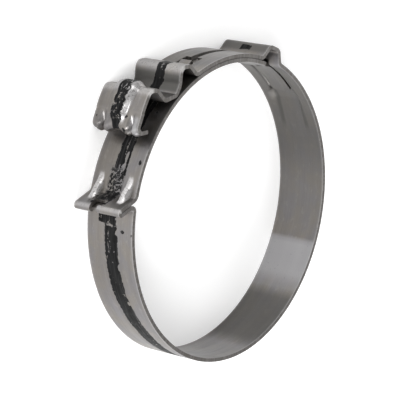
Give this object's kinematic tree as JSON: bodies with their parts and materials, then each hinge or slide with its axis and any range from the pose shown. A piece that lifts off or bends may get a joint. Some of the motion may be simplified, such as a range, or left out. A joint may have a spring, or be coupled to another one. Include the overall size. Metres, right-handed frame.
{
  "type": "boot clamp",
  "caption": "Hook-closing band clamp folded from a single steel strip, shown open, for holding a rubber bellows on a drive shaft joint.",
  "frame": {"origin": "centre of the clamping bore in the plane of the rim the clamp lies on", "axes": "+Z along the bore axis, up from the resting rim; the ring hook points along -X"},
  "size_m": [0.0527, 0.0499, 0.009],
  "materials": {
    "band_steel": "satin rolled stainless strip with a black marking line"
  },
  "bodies": {
    "root": {"clamp_band": "band_steel"}
  },
  "joints": []
}
